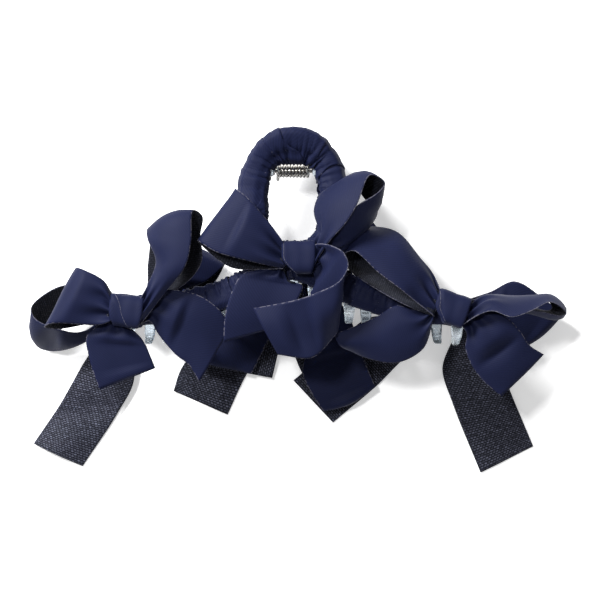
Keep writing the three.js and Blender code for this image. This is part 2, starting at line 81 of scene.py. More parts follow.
camera_data = bpy.data.cameras.new("overhead")
camera_data.lens = camera_data.sensor_width * EYE.z / SEEN_WIDTH
camera_data.clip_end = 10
camera = bpy.data.objects.new("overhead", camera_data)
camera.location = EYE
scene.collection.objects.link(camera)
scene.camera = camera
scene.view_settings.view_transform = "Standard"
print("lens", round(camera_data.lens), "mm")


# %% A helper that ends every mesh
def object_from(bm, name, *finishes):
    """Ends a bmesh as an object at the origin, shaded smooth."""
    mesh = bpy.data.meshes.new(name)
    bm.to_mesh(mesh)
    bm.free()
    mesh.polygons.foreach_set("use_smooth", [True] * len(mesh.polygons))
    for finish in finishes:
        mesh.materials.append(finish)
    made = bpy.data.objects.new(name, mesh)
    scene.collection.objects.link(made)
    return made


# %% Table, lamps and sky
TABLE_GLOW = 0.38
SKY_STRENGTH = 0.35


def soft_light(name, place, size, power):
    lamp = bpy.data.lights.new(name, "AREA")
    lamp.size = size
    lamp.energy = power
    holder = bpy.data.objects.new(name, lamp)
    holder.location = place
    holder.rotation_euler = (-Vector(place)).to_track_quat("-Z", "Y").to_euler()
    scene.collection.objects.link(holder)


table = bmesh.new()
bmesh.ops.create_grid(table, x_segments=1, y_segments=1, size=4)
bmesh.ops.translate(table, vec=(0, 0, -0.1 * MM), verts=table.verts)
white = bpy.data.materials.new("white_table")
white.use_nodes = True
white_sockets = white.node_tree.nodes["Principled BSDF"].inputs
white_sockets["Base Color"].default_value = (0.9, 0.9, 0.9, 1)
white_sockets["Roughness"].default_value = 0.8
white_sockets["Emission Color"].default_value = (1, 1, 1, 1)
white_sockets["Emission Strength"].default_value = TABLE_GLOW
object_from(table, "table", white)

soft_light("key", (-0.7, 0.65, 0.75), 0.3, 34)
soft_light("top", (-0.25, 0.25, 1.2), 0.1, 8)
sky = bpy.data.worlds.new("sky")
sky.use_nodes = True
sky.node_tree.nodes["Background"].inputs["Color"].default_value = (1, 1, 1, 1)
sky.node_tree.nodes["Background"].inputs["Strength"].default_value = SKY_STRENGTH
scene.world = sky
print("lamps:", [lamp.name for lamp in bpy.data.lights])

# %% [markdown]
# ## Finishes
#
# The ribbon has a smooth crepe face with a fine diagonal weave and a faint bloom, and a nearly black corded
# back whose rows of short bars catch the light. The bars carry painted light and shade: they are painted
# paler on the back tails, as painted light, and painted darker everywhere else, as painted shade for the
# insides of the loops, knots and windings. The woven edge is a thin pale thread. All of this follows the
# cloth's own UV map, in metres, so that the weave bends with the ribbon. The clear plastic and the bright
# steel get a little unevenness of their own.


# %% Helpers for material nodes
def new_finish(name):
    material = bpy.data.materials.new(name)
    material.use_nodes = True
    return material, material.node_tree, material.node_tree.nodes["Principled BSDF"]


def node(tree, kind, sockets=None, **settings):
    """Adds a shader node; a socket's value may be a number, a colour or another node's output."""
    made = tree.nodes.new("ShaderNode" + kind)
    for key, value in settings.items():
        setattr(made, key, value)
    for key, value in (sockets or {}).items():
        if isinstance(value, bpy.types.NodeSocket):
            tree.links.new(value, made.inputs[key])
        else:
            made.inputs[key].default_value = value
    return made


def maths(tree, operation, *values):
    made = node(tree, "Math", operation=operation)
    for socket, value in zip(made.inputs, values):
        if isinstance(value, bpy.types.NodeSocket):
            tree.links.new(value, socket)
        else:
            socket.default_value = value
    return made.outputs[0]


def mix_colours(tree, factor, first, second):
    made = node(tree, "Mix", data_type="RGBA")
    for socket, value in ((made.inputs[0], factor), (made.inputs[6], first), (made.inputs[7], second)):
        if isinstance(value, bpy.types.NodeSocket):
            tree.links.new(value, socket)
        else:
            socket.default_value = value
    return made.outputs[2]


def bumped(tree, shader, height, distance, strength):
    bump = node(tree, "Bump", {"Height": height, "Distance": distance, "Strength": strength})
    tree.links.new(bump.outputs[0], shader.inputs["Normal"])


# %% The ribbon's two sides
RIBBON_WIDTH = 22 * MM
NAVY = (0.0086, 0.0114, 0.0380, 1)
NAVY_DEEP = (0.0042, 0.0056, 0.0180, 1)
BACK_DARK = (0.0025, 0.0030, 0.0060, 1)
# The corded back's bars in two tones: a dark one that is painted shade for the inner sides, and a pale one
# that is painted light for the back tails.
SHADED_BACK_BAR = (0.020, 0.022, 0.034, 1)
LIT_TAIL_BAR = (0.098, 0.104, 0.148, 1)
SELVEDGE = (0.070, 0.068, 0.092, 1)


def cloth_coordinates(tree):
    """The cloth's own coordinates in metres, and how far a point is from the nearer long edge."""
    where = node(tree, "UVMap", uv_map="cloth").outputs[0]
    across = node(tree, "SeparateXYZ", {0: where}).outputs[0]
    off_centre = maths(tree, "ABSOLUTE", maths(tree, "SUBTRACT", across, RIBBON_WIDTH / 2))
    return where, maths(tree, "SUBTRACT", RIBBON_WIDTH / 2, off_centre)


def with_selvedge(tree, where, inwards, colour, reach, gaps):
    """Pale threads show here and there within `reach` of the long edges, with more gaps near 1."""
    broken = node(tree, "TexNoise", {"Vector": where, "Scale": 900, "Detail": 2}).outputs["Fac"]
    near = maths(tree, "LESS_THAN", inwards, reach)
    shown = maths(tree, "MULTIPLY", near, maths(tree, "GREATER_THAN", broken, gaps))
    return mix_colours(tree, shown, colour, SELVEDGE)


def ribbon_face(name, gaps):
    material, tree, shader = new_finish(name)
    where, inwards = cloth_coordinates(tree)
    weave = node(tree, "TexWave", {"Vector": where, "Scale": 620, "Distortion": 1.2, "Detail": 1,
                                   "Detail Scale": 2}, bands_direction="DIAGONAL").outputs["Fac"]
    crepe = node(tree, "TexNoise", {"Vector": where, "Scale": 2600, "Detail": 3}).outputs["Fac"]
    cloudy = node(tree, "TexNoise", {"Vector": where, "Scale": 90, "Detail": 3}).outputs["Fac"]
    grain = maths(tree, "ADD", maths(tree, "MULTIPLY", weave, 0.55), maths(tree, "MULTIPLY", crepe, 0.45))
    tone = maths(tree, "ADD", maths(tree, "MULTIPLY", grain, 0.6), maths(tree, "MULTIPLY", cloudy, 0.4))
    colour = mix_colours(tree, tone, NAVY_DEEP, NAVY)
    colour = with_selvedge(tree, where, inwards, colour, 0.25 * MM, gaps)
    tree.links.new(colour, shader.inputs["Base Color"])
    rough = node(tree, "MapRange", {"Value": crepe, "To Min": 0.5, "To Max": 0.72}).outputs[0]
    tree.links.new(rough, shader.inputs["Roughness"])
    shader.inputs["Specular IOR Level"].default_value = 0.07
    shader.inputs["Sheen Weight"].default_value = 0.025
    shader.inputs["Sheen Roughness"].default_value = 0.45
    shader.inputs["Sheen Tint"].default_value = (0.35, 0.4, 0.85, 1)
    bumped(tree, shader, grain, 0.06 * MM, 0.6)
    return material


# The bars' colour, bar, holds painted light for the back tails or painted shade for the inner sides.
def ribbon_back(name, bar):
    material, tree, shader = new_finish(name)
    where, inwards = cloth_coordinates(tree)
    bars = node(tree, "TexBrick", {"Vector": where, "Scale": 1000, "Brick Width": 1.25, "Row Height": 0.8,
                                   "Mortar Size": 0.22, "Mortar Smooth": 0.6, "Bias": 0.0,
                                   "Color1": (1, 1, 1, 1), "Color2": (0.45, 0.45, 0.45, 1),
                                   "Mortar": (0, 0, 0, 1)}).outputs["Color"]
    patchy = node(tree, "TexNoise", {"Vector": where, "Scale": 1100, "Detail": 3}).outputs["Fac"]
    worn = node(tree, "MapRange", {"Value": patchy, "From Min": 0.38, "From Max": 0.62,
                                   "To Min": 0.25}).outputs[0]
    shown = maths(tree, "MULTIPLY", bars, worn)
    colour = mix_colours(tree, shown, BACK_DARK, bar)
    colour = with_selvedge(tree, where, inwards, colour, 0.2 * MM, 0.55)
    tree.links.new(colour, shader.inputs["Base Color"])
    rough = node(tree, "MapRange", {"Value": shown, "To Min": 0.75, "To Max": 0.42}).outputs[0]
    tree.links.new(rough, shader.inputs["Roughness"])
    shader.inputs["Specular IOR Level"].default_value = 0.12
    shader.inputs["Sheen Weight"].default_value = 0.04
    shader.inputs["Sheen Roughness"].default_value = 0.5
    shader.inputs["Sheen Tint"].default_value = (0.5, 0.55, 0.8, 1)
    bumped(tree, shader, shown, 0.12 * MM, 0.8)
    return material


def selvedge_thread():
    material, tree, shader = new_finish("selvedge_thread")
    where = node(tree, "TexCoord").outputs["Object"]
    broken = node(tree, "TexNoise", {"Vector": where, "Scale": 1500, "Detail": 2}).outputs["Fac"]
    pale = node(tree, "MapRange", {"Value": broken, "From Min": 0.4, "From Max": 0.6}).outputs[0]
    tree.links.new(mix_colours(tree, pale, NAVY, SELVEDGE), shader.inputs["Base Color"])
    shader.inputs["Roughness"].default_value = 0.8
    return material


# %% Make the cloth finishes
FACE = ribbon_face("ribbon_face", 0.5)
WOUND_FACE = ribbon_face("wound_ribbon_face", 0.63)
# Painted shade: the back with darker bars, for the insides of loops, knots and windings and under the front
# tails.
SHADED_BACK = ribbon_back("ribbon_back_painted_shade", SHADED_BACK_BAR)
# Painted light: the back with paler bars, for the back tails that lie face down.
LIT_TAIL_BACK = ribbon_back("ribbon_back_painted_light", LIT_TAIL_BAR)
THREAD = selvedge_thread()
print("ribbon finishes:", [finish.name for finish in (FACE, WOUND_FACE, SHADED_BACK, LIT_TAIL_BACK, THREAD)])


# %% Clear plastic and steel
def clear_plastic():
    material, tree, shader = new_finish("moulded_plastic")
    where = node(tree, "TexCoord").outputs["Object"]
    flow = node(tree, "TexNoise", {"Vector": where, "Scale": 110, "Detail": 0, "Distortion": 0.4})
    tint = mix_colours(tree, flow.outputs["Fac"], (0.74, 0.84, 0.93, 1), (0.86, 0.93, 0.98, 1))
    tree.links.new(tint, shader.inputs["Base Color"])
    rough = node(tree, "MapRange", {"Value": flow.outputs["Fac"], "To Min": 0.12, "To Max": 0.22}).outputs[0]
    tree.links.new(rough, shader.inputs["Roughness"])
    shader.inputs["IOR"].default_value = 1.49
    shader.inputs["Transmission Weight"].default_value = 0.75
    bumped(tree, shader, flow.outputs["Fac"], 0.2 * MM, 0.04)
    return material


def drawn_steel():
    material, tree, shader = new_finish("drawn_steel")
    where = node(tree, "TexCoord").outputs["Object"]
    stretched = node(tree, "Mapping", {"Vector": where, "Scale": (6, 1, 1)}).outputs[0]
    drawn = node(tree, "TexNoise", {"Vector": stretched, "Scale": 700, "Detail": 3}).outputs["Fac"]
    tint = mix_colours(tree, drawn, (0.40, 0.37, 0.32, 1), (0.62, 0.61, 0.60, 1))
    tree.links.new(tint, shader.inputs["Base Color"])
    shader.inputs["Metallic"].default_value = 1
    rough = node(tree, "MapRange", {"Value": drawn, "To Min": 0.12, "To Max": 0.3}).outputs[0]
    tree.links.new(rough, shader.inputs["Roughness"])
    bumped(tree, shader, drawn, 0.02 * MM, 0.3)
    return material


PLASTIC = clear_plastic()
STEEL = drawn_steel()
print("hard finishes:", PLASTIC.name, STEEL.name)

# %% [markdown]
# ## Ribbon strips
#
# A tied bow is one strip of ribbon. It is only as wide as it was cut, so each strip here keeps its 22 mm
# across: where its two edges come closer, the spare cloth bellies out or gathers in pleats at the knot. The
# strip starts as a flat grid whose corners are laid along two smooth edge lines. A Solidify modifier
# then gives it its 0.3 mm, with the corded back on the inside.


# %% A smooth line through a few points
def between(first, second, start, end, at):
    return first + (second - first) * ((at - start) / (end - start))


def line_point(points, t):
    """A point of the smooth line through all the points, t from 0 to 1."""
    spans = len(points) - 1
    i = min(int(t * spans), spans - 1)
    before = points[i - 1] if i else points[0] * 2 - points[1]
    after = points[i + 2] if i + 2 <= spans else points[-1] * 2 - points[-2]
    four = (before, points[i], points[i + 1], after)
    marks = [0.0]
    for k in range(3):
        marks.append(marks[-1] + max((four[k + 1] - four[k]).length, 1e-7) ** 0.5)
    at = marks[1] + (t * spans - i) * (marks[2] - marks[1])
    low = [between(four[k], four[k + 1], marks[k], marks[k + 1], at) for k in range(3)]
    mid = [between(low[k], low[k + 1], marks[k], marks[k + 2], at) for k in range(2)]
    return between(mid[0], mid[1], marks[1], marks[2], at)


def even_rows(edges, spacing):
    """Cross-lines at even steps along a strip between two edge lines, and its length."""
    fine = [tuple(line_point(edge, i / 400) for edge in edges) for i in range(401)]
    reach = [0.0]
    for (a, b), (c, d) in zip(fine, fine[1:]):
        reach.append(reach[-1] + ((c + d) / 2 - (a + b) / 2).length)
    count = max(8, round(reach[-1] / spacing))
    rows, i = [], 0
    for k in range(count + 1):
        goal = reach[-1] * k / count
        while i < 399 and reach[i + 1] < goal:
            i += 1
        share = (goal - reach[i]) / max(reach[i + 1] - reach[i], 1e-9)
        rows.append(tuple(fine[i][e].lerp(fine[i + 1][e], share) for e in (0, 1)))
    return rows, reach[-1]


# %% A strip of ribbon
THICKNESS = 0.3 * MM
ACROSS = 26
ROW = 1.1 * MM
PLEATS = 5
PLEAT_REACH = 9 * MM
BELLY, BELLY_LIMIT = 0.8, 3 * MM  # how much of the spare cloth arches out, and the most it can
CREASE_DEPTH = 0.9 * MM
CREASES_ACROSS, CREASES_ALONG = 1.6, 55  # over the width, and in each metre


def ribbon_strip(name, edges, seed, both_ends, inside, reverse_up, reverse):
    """A strip between two edge lines, gathered at its first end or at both ends. Its smooth face is turned
    away from the point `inside`, and without one it is up, or down if `reverse_up`."""
    rows, length = even_rows(edges, ROW)
    middles = [(a + b) / 2 for a, b in rows]
    last = len(rows) - 1
    normals = []
    for i, (a, b) in enumerate(rows):
        ahead = middles[min(i + 1, last)] - middles[max(i - 1, 0)]
        normals.append((b - a).cross(ahead).normalized())
    if inside is None:
        facing = sum(normal.z for normal in normals) * (-1 if reverse_up else 1)
    else:
        facing = sum(normal.dot(m - inside) for normal, m in zip(normals, middles))
    if facing < 0:
        rows = [(b, a) for a, b in rows]
        normals = [-normal for normal in normals]

    strip = bmesh.new()
    bmesh.ops.create_grid(strip, x_segments=ACROSS, y_segments=last, size=1)
    cloth = strip.loops.layers.uv.new("cloth")
    spots = {}
    for vert in strip.verts:
        s, t = (vert.co.x + 1) / 2, (vert.co.y + 1) / 2
        i = round(t * last)
        a, b = rows[i]
        wide = (b - a).length
        spare = math.sqrt(wide * max(RIBBON_WIDTH - wide, 0))
        along = t * length
        near = min(along, length - along) if both_ends else along
        gathered = math.exp(-((near / PLEAT_REACH) ** 2))
        pleat = math.sin(PLEATS * math.pi * s + seed) * 2 / (PLEATS * math.pi) * spare
        arch = math.sin(math.pi * s) * min(2 / math.pi * spare, BELLY_LIMIT) * BELLY
        arch *= -1 if reverse_up else 1
        creased = noise.noise(Vector((s * CREASES_ACROSS, along * CREASES_ALONG, seed))) * CREASE_DEPTH
        lift = gathered * pleat + (1 - gathered) * (arch + creased * math.sin(math.pi * s) ** 0.5)
        vert.co = a.lerp(b, s) + normals[i] * lift
        vert.co.z = max(vert.co.z, 0.1 * MM + (0 if reverse_up else THICKNESS))
        spots[vert] = (s * RIBBON_WIDTH, along)
    for face in strip.faces:
        for loop in face.loops:
            loop[cloth].uv = spots[loop.vert]
    made = object_from(strip, name, FACE, reverse, THREAD)
    thicken(made)
    return made, length


def thicken(cloth):
    """Gives a sheet its thickness on the inside, its corded back there, and its cut edge."""
    wall = cloth.modifiers.new("thickness", "SOLIDIFY")
    wall.thickness = THICKNESS
    wall.offset = -1
    wall.material_offset = 1
    wall.material_offset_rim = 2


def edge_lines(strip):
    """The two long edges of a strip made from a grid, a little inside the cloth's thickness."""
    mesh = strip.data
    lines = []
    for first in (0, ACROSS):
        line = [mesh.vertices[i] for i in range(first, len(mesh.vertices), ACROSS + 1)]
        lines.append([vert.co - vert.normal * THICKNESS / 2 for vert in line])
    return lines


def threads(name, lines, thickness, roundness, unevenness):
    """Threads or wires along the lines, as one mesh; an uneven one swells and thins."""
    curve = bpy.data.curves.new(name, "CURVE")
    curve.dimensions = "3D"
    curve.bevel_depth = thickness / 2
    curve.bevel_resolution = roundness
    curve.use_fill_caps = True
    for line in lines:
        spline = curve.splines.new("POLY")
        spline.points.add(len(line) - 1)
        for point, place in zip(spline.points, line):
            point.co = (*place, 1)
            point.radius = 1 + unevenness * (noise.noise(place * 900) - 0.5)
    holder = bpy.data.objects.new(name, curve)
    scene.collection.objects.link(holder)
    mesh = bpy.data.meshes.new_from_object(holder.evaluated_get(bpy.context.evaluated_depsgraph_get()))
    bpy.data.objects.remove(holder)
    mesh.name = name
    made = bpy.data.objects.new(name, mesh)
    scene.collection.objects.link(made)
    return made


# %% [markdown]
# ## Where the ribbons run
#
# Each ribbon is given by cross-lines from one edge to the other, in millimetres from the middle of its knot,
# in order outwards from the knot. A loop comes back to the knot. The number before each list is the side of
# the knot that the ribbon leaves from, and `turn` is how far the knot is turned, in degrees.

# %% Routes
BOWS = {
    "front_left": {
        "turn": -6,
        "loops": [
            (-1, [
                ((-8, 11, 3.2), (-10, -5, 0.2)),
                ((-16.5, 15.5, 2.2), (-27.5, -4.5, 1.2)),
                ((-18.5, 15.5, -2.8), (-30, -6, -3.8)),
                ((-14, 12.5, -6.3), (-24, -6.5, -7.3)),
                ((-7, 10, -4.8), (-10, -4, -5.8)),
            ]),
            (1, [
                ((8, 9.5, 2.2), (15.5, 8, 5.2)),
                ((11, 18, 3.2), (22, 16.5, 9.2)),
                ((8, 26, 2.2), (24, 25.5, 9.2)),
                ((7.5, 29.5, -0.8), (24.5, 36.5, 6.2)),
                ((9, 31, -6.8), (28, 34.5, 0.2)),
                ((8.5, 26, -9.8), (27, 27.5, -6.8)),
                ((7.5, 16, -8.8), (27.5, 18, -6.3)),
                ((7.5, 9, -4.3), (20.5, 9, -3.8)),
            ]),
        ],
        "tails": [
            (-1, [
                ((-10, -5, -3.3), (3.5, -8, -4.3)),
                ((-14.5, -9, -3.3), (6.5, -11.5, -4.3)),
                ((-13.5, -18, -4.3), (8.5, -16, -5.3)),
                ((-10, -29, -5.8), (10.5, -21, -6.8)),
            ]),
            (1, [
                ((12.5, 7.5, -0.8), (8.5, -3.5, -2.8)),
                ((19, 7.5, -0.3), (12, -9, -3.3)),
                ((27, 5.5, 0.2), (18, -16, -3.8)),
                ((34, 0.5, -1.3), (23, -20, -4.8)),
                ((38.5, -6, -4.3), (26.5, -26, -5.8)),
            ]),
        ],
    },
    "front_centre": {
        "turn": 0,
        "loops": [
            (-1, [
                ((-11, 12.9, 4), (-15.5, -2.1, 4)),
                ((-19, 21.9, 4), (-30, 1.9, 5)),
                ((-23, 24.9, 1), (-36.5, 5.9, 2.5)),
                ((-22.5, 24.4, -3), (-36.5, 5.4, -1.5)),
                ((-17, 18.9, -4), (-25, -3.6, -3.5)),
                ((-10.5, 9.9, -3), (-13.5, -4.6, -3)),
            ]),
            (1, [
                ((11.5, 5.9, 6), (7, 9.4, -2)),
                ((17, 12.4, 8), (5.5, 17.4, -4.5)),
                ((21, 18.9, 8.5), (8.5, 23.9, -7)),
                ((26, 29.9, 6), (19, 28.4, -9.5)),
                ((31.5, 26.9, 5), (24, 21.9, -9.5)),
                ((28.8, 23.2, 5), (27.5, 18.4, -10)),
                ((21.2, 18.4, 7.3), (29, 16.4, -9)),
                ((16.2, 12.6, 7), (24, 8.4, -7)),
                ((13, 8, 3.5), (17, 2.4, -2)),
            ]),
        ],
        "tails": [
            (-1, [
                ((-12.5, -3.6, -2.7), (-3.5, -8.8, -3.5)),
                ((-20.5, -6.1, -2.5), (1.5, -10.3, -3.2)),
                ((-25, -14.1, -2.5), (-0.5, -16.1, -3)),
                ((-27, -22.1, -3.5), (-2.5, -20.6, -3.5)),
                ((-27.5, -31.1, -6), (-3, -24.6, -6)),
            ]),
            (1, [
                ((10, 4.9, 6), (6, -9.5, -2.5)),
                ((16, 1.9, 10), (4.5, -13.5, -1.5)),
                ((18, -3.1, 11), (9, -20, -2)),
                ((15, -8.6, 10), (14.5, -26, -3)),
                ((7.5, -12.6, 7), (12, -30.1, -2.5)),
                ((-1, -15.6, 4), (5, -36.6, -1.5)),
                ((-16.5, -18.6, 1.5), (-7.5, -35.6, -0.5)),
            ]),
        ],
    },
    "front_right": {
        "turn": -18,
        "loops": [
            (-1, [
                ((-6.5, 13, -2), (-13.2, 2.7, 4.1)),
                ((-11.2, 18.7, -2), (-18.7, 7.2, 6.6)),
                ((-19.7, 28.2, -3), (-26.7, 13.2, 6.1)),
                ((-31.5, 30.2, -10), (-35.7, 21.2, 4)),
                ((-36, 28.7, -13), (-40.2, 18.7, -1)),
                ((-34, 26.5, -14.6), (-36.7, 13.7, -7.4)),
                ((-23.2, 22.2, -12), (-29.2, 8.2, 1.2)),
                ((-13.2, 13, -8), (-18.2, 2, 3)),
            ]),
            (1, [
                ((13, 5.5, -7), (14.3, -0.8, 5.1)),
                ((21.3, 5, -9.5), (21.8, -2.8, 7.1)),
                ((30.3, 4.5, -11), (29.3, -0.3, 6.1)),
                ((36.3, 3.2, -12.5), (35.8, 2.7, 5.1)),
                ((37.8, 0.2, -13.5), (41.8, -1.2, 2.6)),
                ((36.2, -0.8, -14.5), (41, -2.8, 0.5)),
                ((27, 1.2, -16), (28, -0.2, -1.5)),
                ((14, 2, -11), (15, -0.5, -2.5)),
            ]),
        ],
        "tails": [
            (-1, [
                ((-12.2, -0.3, -0.9), (-7.2, -7.8, -2.9)),
                ((-20.2, 1.2, 0.1), (-10.2, -14.8, -3.4)),
                ((-27.2, -2.8, -1.4), (-19.7, -19.8, -4.9)),
                ((-36.2, -6.8, -2.4), (-31.7, -17.8, -5.4)),
                ((-42.7, -9.3, -3.4), (-37.2, -15.3, -6.9)),
            ]),
            (1, [
                ((5.8, -9.3, -2.9), (12.3, 0.2, -0.9)),
                ((5.3, -14.3, -3.9), (19.8, -2.8, 0.1)),
                ((7.8, -20.8, -5.4), (25.3, -8.3, -1.4)),
                ((11.8, -26.3, -6.9), (28.8, -13.3, -3.9)),
                ((18.8, -32.3, -8.4), (34.3, -16.8, -6.9)),
            ]),
        ],
    },
    "back_left": {
        "turn": -6,
        "loops": [
            (-1, [
                ((-14.5, 9, 8.7), (-14.5, 0.5, -2.9)),
                ((-25, 9.5, 13.2), (-23, -4.5, -3.8)),
                ((-33, 5.5, 13.7), (-29.5, -8.5, -3.3)),
                ((-37, 1.0, 14.7), (-34, -10.5, -3.3)),
                ((-35.5, -3, 14.7), (-36, -13.5, -3.3)),
                ((-26.5, -7, 16.2), (-30, -15.5, -3.8)),
                ((-17, -7.5, 7.7), (-18.5, -11.5, -2.1)),
            ]),
            (1, [
                ((6, 10, 5.2), (17, 6, 1.7)),
                ((9.5, 20, 7.7), (29, 11.5, 0.7)),
                ((15, 26.5, 5.7), (34.5, 16.5, -0.3)),
                ((16, 27.5, 0.2), (35, 17.5, -2.8)),
                ((9.5, 18.5, -1.8), (30, 9.5, -3.3)),
                ((7.5, 8.5, -0.3), (16.5, 4.5, -1.3)),
            ]),
        ],
        "tails": [
            (-1, [
                ((-10.5, -8, -3.3), (-0.5, -13, -3.3)),
                ((-18.5, -20, -4.8), (0.5, -26.5, -5.3)),
                ((-27.5, -35.5, -6), (-5.5, -38.5, -6)),
                ((-37.5, -50.5, -6.8), (-19, -59, -6.8)),
            ]),
            (1, [
                ((12.5, 5, -2.3), (12.5, -8, -2.8)),
                ((25.5, 3, -3.7), (22.5, -19, -3.9)),
                ((41, -0.5, -4.1), (37, -22.5, -4.3)),
                ((58, -4.5, -4.1), (53, -25.5, -4.3)),
            ]),
        ],
    },
    "back_centre": {
        "turn": 0,
        "loops": [
            (-1, [
                ((-13.5, -9, 2.5), (-5, -14.5, 2.5)),
                ((-25.5, -18, 3.8), (-7.5, -22.5, 3.8)),
                ((-35.5, -32.5, 6.8), (-13, -34.5, 6.8)),
                ((-39.5, -38, 4.8), (-17.5, -43.5, 4.8)),
                ((-39, -36.5, 2.3), (-17, -42.5, 2.3)),
                ((-25.5, -18.5, 1.7), (-7.5, -24, 1.7)),
                ((-13.5, -10, 0.8), (-5, -15, 0.8)),
            ]),
            (1, [
                ((2, -12.5, 2.5), (12, -10, 2.5)),
                ((8, -25.5, 3.8), (20, -22.5, 3.8)),
                ((2, -42, 6.8), (24, -35.5, 6.8)),
                ((10, -57.5, 4.3), (29.5, -48.5, 4.3)),
                ((9.5, -56, 1.8), (28.5, -47, 1.8)),
                ((7, -27, 1.5), (20, -23, 1.5)),
                ((2, -13.5, 0.8), (12, -11.5, 0.8)),
            ]),
        ],
        "tails": [
            (-1, [
                ((-14, -11.5, -2), (-4, -18.5, -2)),
                ((-31.5, -27, -2.3), (-12, -32, -2.3)),
                ((-44, -41.5, -2.7), (-20, -45, -2.7)),
                ((-47, -50, -3.2), (-26.5, -59, -3.2)),
            ]),
            (1, [
                ((-1.5, -15.5, -1.7), (10.5, -11.5, -1.7)),
                ((-3, -27, -1.1), (17, -21, -1.1)),
                ((1, -41.5, -0.7), (19, -29.5, -0.7)),
                ((6, -48.5, -0.5), (23, -37.5, -0.5)),
            ]),
        ],
    },
    "back_right": {
        "turn": -18,
        "loops": [
            (-1, [
                ((-9.7, 13.7, 4.7), (-12.7, 2.7, 1.7)),
                ((-17.7, 22.2, 7.7), (-25.2, 7.7, 0.7)),
                ((-23.7, 27.2, 6.2), (-34.2, 14.7, -0.8)),
                ((-28.2, 33.2, 2.7), (-37.7, 17.7, -1.8)),
                ((-25.7, 30.2, -0.8), (-35.7, 15.2, -2.8)),
                ((-17.2, 19.7, -2.3), (-23.2, 6.2, -2.8)),
                ((-8.7, 9.2, -0.8), (-12.2, 1.7, -1.3)),
            ]),
            (1, [
                ((16.3, 6.2, 4.7), (14.3, -7.8, 1.7)),
                ((25.3, 10.2, 7.7), (21.3, -13.3, 2.7)),
                ((35.8, 4.2, 5.2), (25.3, -15.8, 1.7)),
                ((43.8, -2.3, 1.7), (27.3, -16.3, -0.3)),
                ((43.3, -1.8, -1.8), (26.8, -15.8, -2.9)),
                ((31.8, 3.2, -2.3), (22.3, -12.3, -2.9)),
                ((16.8, 4.2, -0.8), (14.3, -6.3, -1.3)),
            ]),
        ],
        "tails": [
            (-1, [
                ((-11.7, -1.8, -2.5), (-6.7, -10.8, -3.1)),
                ((-29.7, -3.8, -5.3), (-15.7, -18.8, -5.3)),
                ((-41.7, -13.8, -6.1), (-26.7, -29.8, -6.1)),
                ((-57.7, -27.3, -6.8), (-42.7, -43.3, -6.8)),
            ]),
            (1, [
                ((2.8, -10.8, -3.1), (12.8, -7.8, -2.9)),
                ((-1.2, -22.8, -4.3), (19.3, -18.8, -4.3)),
                ((2.8, -36.3, -5.8), (25.3, -33.3, -5.8)),
                ((13.3, -62.3, -6.8), (33.3, -52.3, -6.8)),
            ]),
        ],
    },
}


# %% [markdown]
# ## Loops and tails
#
# The loops of a bow show the ribbon's smooth face outwards. The front tails lie face up and the back tails
# face down, as ribbon does when a bow is tied from one strip, so the back ones show the corded side.

# %% Make the ribbons of every bow
EXIT_DEPTH = 5.2 * MM
EXIT_HALF = 4.3 * MM
LOOP_TOP, LOOP_UNDER, TAIL_LEVEL = 1.5 * MM, -0.2 * MM, -1.7 * MM
SMOOTH_INSIDE = ("front_centre_right_tail",)  # it curls over, and its inner side is smooth as well


def knot_exit(centre, turn, hand, level, following):
    """The narrow cross-line where a ribbon leaves its knot, its edges in the next line's order."""
    spin = Matrix.Rotation(math.radians(turn), 3, "Z")
    ends = [centre + spin @ Vector((hand * EXIT_DEPTH, side * EXIT_HALF, level)) for side in (-1, 1)]
    if (ends[1] - ends[0]).dot(following[1] - following[0]) < 0:
        ends.reverse()
    return tuple(ends)


seed = 0
for bow_name, bow in BOWS.items():
    body = bow_name.split("_")[0]
    centre = middle_of(bow_name + "_knot")
    edges_of_bow = []
    for part in ("loops", "tails"):
        for hand, table_lines in bow[part]:
            seed += 1
            lines = [tuple(centre + Vector(end) * MM for end in line) for line in table_lines]
            side = "left" if hand < 0 else "right"
            if part == "loops":
                lines = [knot_exit(centre, bow["turn"], hand, LOOP_TOP, lines[0]), *lines,
                         knot_exit(centre, bow["turn"], hand, LOOP_UNDER, lines[-1])]
                inside = sum((a + b for a, b in lines), Vector()) / (2 * len(lines))
            else:
                lines = [knot_exit(centre, bow["turn"], hand, TAIL_LEVEL, lines[0]), *lines]
                inside = None
            edges = [[line[e] for line in lines] for e in (0, 1)]
            name = f"{bow_name}_{side}_{part[:-1]}"
            reverse_up = part == "tails" and body == "back"
            # The back tails get the back whose bars carry painted light, the other strips the back whose bars
            # carry painted shade.
            reverse = FACE if name in SMOOTH_INSIDE else LIT_TAIL_BACK if reverse_up else SHADED_BACK
            strip, length = ribbon_strip(name, edges, seed, part == "loops", inside, reverse_up, reverse)
            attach(strip, body)
            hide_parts(f"{bow_name}_{part}")
            if part == "loops" or name in SMOOTH_INSIDE:
                edges_of_bow += edge_lines(strip)
    selvedge = threads(bow_name + "_selvedge", edges_of_bow, 0.16 * MM, 1, 0.5)
    selvedge.data.materials.append(THREAD)
    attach(selvedge, body)
    print(bow_name, "has", len(edges_of_bow), "woven edges")

# %% [markdown]
# ## Knots
#
# Each knot is a short piece of the same ribbon wrapped round the bow's middle, its edges turned under and a
# low step where one edge crosses it. A circle of points is extruded along the knot row by row, and each row
# is squared off to the knot's box, pulled in at the ends and turned under. A thread follows the woven edge.

